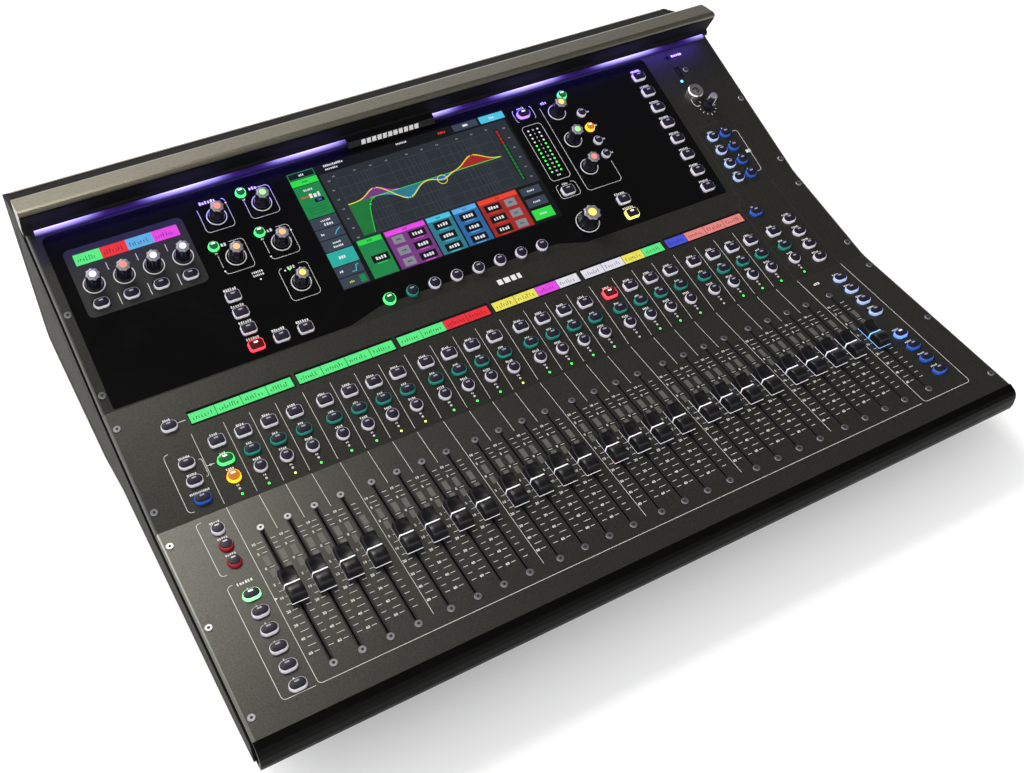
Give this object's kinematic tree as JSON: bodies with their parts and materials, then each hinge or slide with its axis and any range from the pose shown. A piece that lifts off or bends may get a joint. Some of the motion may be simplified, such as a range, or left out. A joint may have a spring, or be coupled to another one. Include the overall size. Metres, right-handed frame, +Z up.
{
  "type": "mixing console",
  "caption": "Wide digital audio mixing console with channel faders, key rows, name displays, rotary controls and an angled touch screen under a lit hood.",
  "frame": {"origin": "centre of the footprint on the table, under the rubber feet", "axes": "+X to the operator's right along the width, -Y the front edge, +Z up"},
  "size_m": [0.673, 0.5291, 0.1996],
  "materials": {
    "boards_and_power_supply": "green circuit boards",
    "chassis_tray": "satin black powder coat",
    "compressor_knob": "black body, grey soft-touch fluted top",
    "display_glass": "gloss black hard-coated sheet",
    "display_keys": "translucent white key with a printed charcoal top",
    "display_modules": "lit colour displays",
    "equaliser_frequency_knob": "black body, grey soft-touch fluted top",
    "equaliser_gain_knob": "black body, grey soft-touch fluted top",
    "equaliser_width_knob": "black body, grey soft-touch fluted top",
    "fader_01": "gloss black moulded cap on a steel tongue",
    "fader_02": "gloss black moulded cap on a steel tongue",
    "fader_03": "gloss black moulded cap on a steel tongue",
    "fader_04": "gloss black moulded cap on a steel tongue",
    "fader_05": "gloss black moulded cap on a steel tongue",
    "fader_06": "gloss black moulded cap on a steel tongue",
    "fader_07": "gloss black moulded cap on a steel tongue",
    "fader_08": "gloss black moulded cap on a steel tongue",
    "fader_09": "gloss black moulded cap on a steel tongue",
    "fader_10": "gloss black moulded cap on a steel tongue",
    "fader_11": "gloss black moulded cap on a steel tongue",
    "fader_12": "gloss black moulded cap on a steel tongue",
    "fader_13": "gloss black moulded cap on a steel tongue",
    "fader_14": "gloss black moulded cap on a steel tongue",
    "fader_15": "gloss black moulded cap on a steel tongue",
    "fader_16": "gloss black moulded cap on a steel tongue",
    "fader_17": "gloss black moulded cap on a steel tongue",
    "fader_18": "gloss black moulded cap on a steel tongue",
    "fader_19": "gloss black moulded cap on a steel tongue",
    "fader_20": "gloss black moulded cap on a steel tongue",
    "fader_21": "gloss black moulded cap on a steel tongue",
    "fader_22": "gloss black moulded cap on a steel tongue",
    "fader_23": "gloss black moulded cap on a steel tongue",
    "fader_24": "gloss black moulded cap on a steel tongue",
    "fader_master": "gloss black moulded cap on a steel tongue",
    "fader_tracks": "bright zinc-plated track bodies",
    "fasteners": "zinc-plated socket screws",
    "feet": "moulded black rubber",
    "filter_knob": "black body, grey soft-touch fluted top",
    "front_rail": "matt black moulded rail",
    "gate_knob": "black body, grey soft-touch fluted top",
    "headphone_level_knob": "black body, grey soft-touch fluted top",
    "layer_keys": "translucent white key with a printed charcoal top",
    "light_bar": "frosted light strips and status lights, lit",
    "listen_keys": "translucent white key with a printed charcoal top",
    "mix_keys": "translucent white key with a printed charcoal top",
    "mute_keys": "translucent white key with a printed charcoal top",
    "pan_knob": "black body, grey soft-touch fluted top",
    "power_rocker": "gloss black rocker",
    "preamp_knob": "black body, grey soft-touch fluted top",
    "rear_cover": "fine-textured dark grey powder coat",
    "screen_knob": "black body, grey soft-touch fluted top",
    "select_keys": "translucent white key with a printed charcoal top",
    "side_cheeks": "fine-textured warm grey powder coat",
    "sockets": "nickel-plated and black socket shells",
    "soft_rotary_1": "black body, grey soft-touch fluted top",
    "soft_rotary_2": "black body, grey soft-touch fluted top",
    "soft_rotary_3": "black body, grey soft-touch fluted top",
    "soft_rotary_4": "black body, grey soft-touch fluted top",
    "surface_panel": "fine-textured charcoal powder coat",
    "top_hood": "bead-blasted, champagne grey anodised"
  },
  "bodies": {
    "console": {"boards_and_power_supply": "boards_and_power_supply", "chassis_tray": "chassis_tray", "display_glass": "display_glass", "display_modules": "display_modules", "fader_tracks": "fader_tracks", "fasteners": "fasteners", "feet": "feet", "front_rail": "front_rail", "light_bar": "light_bar", "rear_cover": "rear_cover", "side_cheeks": "side_cheeks", "sockets": "sockets", "surface_panel": "surface_panel", "top_hood": "top_hood"},
    "fader_01_body": {"fader_01": "fader_01"},
    "fader_02_body": {"fader_02": "fader_02"},
    "fader_03_body": {"fader_03": "fader_03"},
    "fader_04_body": {"fader_04": "fader_04"},
    "fader_05_body": {"fader_05": "fader_05"},
    "fader_06_body": {"fader_06": "fader_06"},
    "fader_07_body": {"fader_07": "fader_07"},
    "fader_08_body": {"fader_08": "fader_08"},
    "fader_09_body": {"fader_09": "fader_09"},
    "fader_10_body": {"fader_10": "fader_10"},
    "fader_11_body": {"fader_11": "fader_11"},
    "fader_12_body": {"fader_12": "fader_12"},
    "fader_13_body": {"fader_13": "fader_13"},
    "fader_14_body": {"fader_14": "fader_14"},
    "fader_15_body": {"fader_15": "fader_15"},
    "fader_16_body": {"fader_16": "fader_16"},
    "fader_17_body": {"fader_17": "fader_17"},
    "fader_18_body": {"fader_18": "fader_18"},
    "fader_19_body": {"fader_19": "fader_19"},
    "fader_20_body": {"fader_20": "fader_20"},
    "fader_21_body": {"fader_21": "fader_21"},
    "fader_22_body": {"fader_22": "fader_22"},
    "fader_23_body": {"fader_23": "fader_23"},
    "fader_24_body": {"fader_24": "fader_24"},
    "fader_master_body": {"fader_master": "fader_master"},
    "soft_rotary_1_body": {"soft_rotary_1": "soft_rotary_1"},
    "soft_rotary_2_body": {"soft_rotary_2": "soft_rotary_2"},
    "soft_rotary_3_body": {"soft_rotary_3": "soft_rotary_3"},
    "soft_rotary_4_body": {"soft_rotary_4": "soft_rotary_4"},
    "preamp_knob_body": {"preamp_knob": "preamp_knob"},
    "filter_knob_body": {"filter_knob": "filter_knob"},
    "gate_knob_body": {"gate_knob": "gate_knob"},
    "compressor_knob_body": {"compressor_knob": "compressor_knob"},
    "pan_knob_body": {"pan_knob": "pan_knob"},
    "equaliser_width_knob_body": {"equaliser_width_knob": "equaliser_width_knob"},
    "equaliser_frequency_knob_body": {"equaliser_frequency_knob": "equaliser_frequency_knob"},
    "equaliser_gain_knob_body": {"equaliser_gain_knob": "equaliser_gain_knob"},
    "screen_knob_body": {"screen_knob": "screen_knob"},
    "headphone_level_knob_body": {"headphone_level_knob": "headphone_level_knob"},
    "mute_keys_body": {"mute_keys": "mute_keys"},
    "select_keys_body": {"select_keys": "select_keys"},
    "listen_keys_body": {"listen_keys": "listen_keys"},
    "layer_keys_body": {"layer_keys": "layer_keys"},
    "mix_keys_body": {"mix_keys": "mix_keys"},
    "display_keys_body": {"display_keys": "display_keys"},
    "power_rocker_body": {"power_rocker": "power_rocker"}
  },
  "joints": [
    {"name": "fader_01_slide", "type": "slide", "parent": "console", "child": "fader_01_body", "axis": [0, 0.9986, 0.0523], "range_m": [-0.054, 0.046]},
    {"name": "fader_02_slide", "type": "slide", "parent": "console", "child": "fader_02_body", "axis": [0, 0.9986, 0.0523], "range_m": [-0.054, 0.046]},
    {"name": "fader_03_slide", "type": "slide", "parent": "console", "child": "fader_03_body", "axis": [0, 0.9986, 0.0523], "range_m": [-0.054, 0.046]},
    {"name": "fader_04_slide", "type": "slide", "parent": "console", "child": "fader_04_body", "axis": [0, 0.9986, 0.0523], "range_m": [-0.054, 0.046]},
    {"name": "fader_05_slide", "type": "slide", "parent": "console", "child": "fader_05_body", "axis": [0, 0.9986, 0.0523], "range_m": [-0.054, 0.046]},
    {"name": "fader_06_slide", "type": "slide", "parent": "console", "child": "fader_06_body", "axis": [0, 0.9986, 0.0523], "range_m": [-0.054, 0.046]},
    {"name": "fader_07_slide", "type": "slide", "parent": "console", "child": "fader_07_body", "axis": [0, 0.9986, 0.0523], "range_m": [-0.054, 0.046]},
    {"name": "fader_08_slide", "type": "slide", "parent": "console", "child": "fader_08_body", "axis": [0, 0.9986, 0.0523], "range_m": [-0.054, 0.046]},
    {"name": "fader_09_slide", "type": "slide", "parent": "console", "child": "fader_09_body", "axis": [0, 0.9986, 0.0523], "range_m": [-0.054, 0.046]},
    {"name": "fader_10_slide", "type": "slide", "parent": "console", "child": "fader_10_body", "axis": [0, 0.9986, 0.0523], "range_m": [-0.054, 0.046]},
    {"name": "fader_11_slide", "type": "slide", "parent": "console", "child": "fader_11_body", "axis": [0, 0.9986, 0.0523], "range_m": [-0.054, 0.046]},
    {"name": "fader_12_slide", "type": "slide", "parent": "console", "child": "fader_12_body", "axis": [0, 0.9986, 0.0523], "range_m": [-0.054, 0.046]},
    {"name": "fader_13_slide", "type": "slide", "parent": "console", "child": "fader_13_body", "axis": [0, 0.9986, 0.0523], "range_m": [-0.054, 0.046]},
    {"name": "fader_14_slide", "type": "slide", "parent": "console", "child": "fader_14_body", "axis": [0, 0.9986, 0.0523], "range_m": [-0.054, 0.046]},
    {"name": "fader_15_slide", "type": "slide", "parent": "console", "child": "fader_15_body", "axis": [0, 0.9986, 0.0523], "range_m": [-0.054, 0.046]},
    {"name": "fader_16_slide", "type": "slide", "parent": "console", "child": "fader_16_body", "axis": [0, 0.9986, 0.0523], "range_m": [-0.054, 0.046]},
    {"name": "fader_17_slide", "type": "slide", "parent": "console", "child": "fader_17_body", "axis": [0, 0.9986, 0.0523], "range_m": [-0.054, 0.046]},
    {"name": "fader_18_slide", "type": "slide", "parent": "console", "child": "fader_18_body", "axis": [0, 0.9986, 0.0523], "range_m": [-0.054, 0.046]},
    {"name": "fader_19_slide", "type": "slide", "parent": "console", "child": "fader_19_body", "axis": [0, 0.9986, 0.0523], "range_m": [-0.054, 0.046]},
    {"name": "fader_20_slide", "type": "slide", "parent": "console", "child": "fader_20_body", "axis": [0, 0.9986, 0.0523], "range_m": [-0.054, 0.046]},
    {"name": "fader_21_slide", "type": "slide", "parent": "console", "child": "fader_21_body", "axis": [0, 0.9986, 0.0523], "range_m": [-0.054, 0.046]},
    {"name": "fader_22_slide", "type": "slide", "parent": "console", "child": "fader_22_body", "axis": [0, 0.9986, 0.0523], "range_m": [-0.054, 0.046]},
    {"name": "fader_23_slide", "type": "slide", "parent": "console", "child": "fader_23_body", "axis": [0, 0.9986, 0.0523], "range_m": [-0.054, 0.046]},
    {"name": "fader_24_slide", "type": "slide", "parent": "console", "child": "fader_24_body", "axis": [0, 0.9986, 0.0523], "range_m": [-0.054, 0.046]},
    {"name": "fader_master_slide", "type": "slide", "parent": "console", "child": "fader_master_body", "axis": [0, 0.9986, 0.0523], "range_m": [-0.054, 0.046]},
    {"name": "soft_rotary_1_turn", "type": "hinge", "parent": "console", "child": "soft_rotary_1_body", "pos_m": [-0.301, 0.13653, 0.14861], "axis": [0, -0.3939, 0.9191], "continuous": true},
    {"name": "soft_rotary_2_turn", "type": "hinge", "parent": "console", "child": "soft_rotary_2_body", "pos_m": [-0.2766, 0.13653, 0.14861], "axis": [0, -0.3939, 0.9191], "continuous": true},
    {"name": "soft_rotary_3_turn", "type": "hinge", "parent": "console", "child": "soft_rotary_3_body", "pos_m": [-0.2522, 0.13653, 0.14861], "axis": [0, -0.3939, 0.9191], "continuous": true},
    {"name": "soft_rotary_4_turn", "type": "hinge", "parent": "console", "child": "soft_rotary_4_body", "pos_m": [-0.2278, 0.13653, 0.14861], "axis": [0, -0.3939, 0.9191], "continuous": true},
    {"name": "preamp_knob_turn", "type": "hinge", "parent": "console", "child": "preamp_knob_body", "pos_m": [-0.1884, 0.16043, 0.15885], "axis": [0, -0.3939, 0.9191], "continuous": true},
    {"name": "filter_knob_turn", "type": "hinge", "parent": "console", "child": "filter_knob_body", "pos_m": [-0.1485, 0.16043, 0.15885], "axis": [0, -0.3939, 0.9191], "continuous": true},
    {"name": "gate_knob_turn", "type": "hinge", "parent": "console", "child": "gate_knob_body", "pos_m": [-0.1884, 0.12275, 0.1427], "axis": [0, -0.3939, 0.9191], "continuous": true},
    {"name": "compressor_knob_turn", "type": "hinge", "parent": "console", "child": "compressor_knob_body", "pos_m": [-0.1485, 0.12275, 0.1427], "axis": [0, -0.3939, 0.9191], "continuous": true},
    {"name": "pan_knob_turn", "type": "hinge", "parent": "console", "child": "pan_knob_body", "pos_m": [-0.1485, 0.08525, 0.12663], "axis": [0, -0.3939, 0.9191], "continuous": true},
    {"name": "equaliser_width_knob_turn", "type": "hinge", "parent": "console", "child": "equaliser_width_knob_body", "pos_m": [0.1433, 0.16007, 0.1587], "axis": [0, -0.3939, 0.9191], "continuous": true},
    {"name": "equaliser_frequency_knob_turn", "type": "hinge", "parent": "console", "child": "equaliser_frequency_knob_body", "pos_m": [0.1433, 0.13065, 0.14609], "axis": [0, -0.3939, 0.9191], "continuous": true},
    {"name": "equaliser_gain_knob_turn", "type": "hinge", "parent": "console", "child": "equaliser_gain_knob_body", "pos_m": [0.1433, 0.10161, 0.13364], "axis": [0, -0.3939, 0.9191], "continuous": true},
    {"name": "screen_knob_turn", "type": "hinge", "parent": "console", "child": "screen_knob_body", "pos_m": [0.1126, 0.05436, 0.11339], "axis": [0, -0.3939, 0.9191], "continuous": true},
    {"name": "headphone_level_knob_turn", "type": "hinge", "parent": "console", "child": "headphone_level_knob_body", "pos_m": [0.29, 0.12091, 0.14192], "axis": [0, -0.3939, 0.9191], "range_deg": [-210, 90]},
    {"name": "mute_keys_press", "type": "slide", "parent": "console", "child": "mute_keys_body", "axis": [0, 0.247, -0.969], "range_m": [0, 0.0008], "stiffness_N_per_m": 700, "springref_m": -0.0008},
    {"name": "select_keys_press", "type": "slide", "parent": "console", "child": "select_keys_body", "axis": [0, 0.247, -0.969], "range_m": [0, 0.0008], "stiffness_N_per_m": 700, "springref_m": -0.0008},
    {"name": "listen_keys_press", "type": "slide", "parent": "console", "child": "listen_keys_body", "axis": [0, 0.247, -0.969], "range_m": [0, 0.0008], "stiffness_N_per_m": 700, "springref_m": -0.0008},
    {"name": "layer_keys_press", "type": "slide", "parent": "console", "child": "layer_keys_body", "axis": [0, 0.108, -0.9942], "range_m": [0, 0.0008], "stiffness_N_per_m": 700, "springref_m": -0.0008},
    {"name": "mix_keys_press", "type": "slide", "parent": "console", "child": "mix_keys_body", "axis": [0, 0.2267, -0.974], "range_m": [0, 0.0008], "stiffness_N_per_m": 700, "springref_m": -0.0008},
    {"name": "display_keys_press", "type": "slide", "parent": "console", "child": "display_keys_body", "axis": [0, 0.3939, -0.9191], "range_m": [0, 0.0008], "stiffness_N_per_m": 700, "springref_m": -0.0008},
    {"name": "power_rocker_tilt", "type": "hinge", "parent": "console", "child": "power_rocker_body", "pos_m": [-0.285, 0.2595, 0.1], "axis": [1, 0, 0], "range_deg": [-16, 0]}
  ]
}
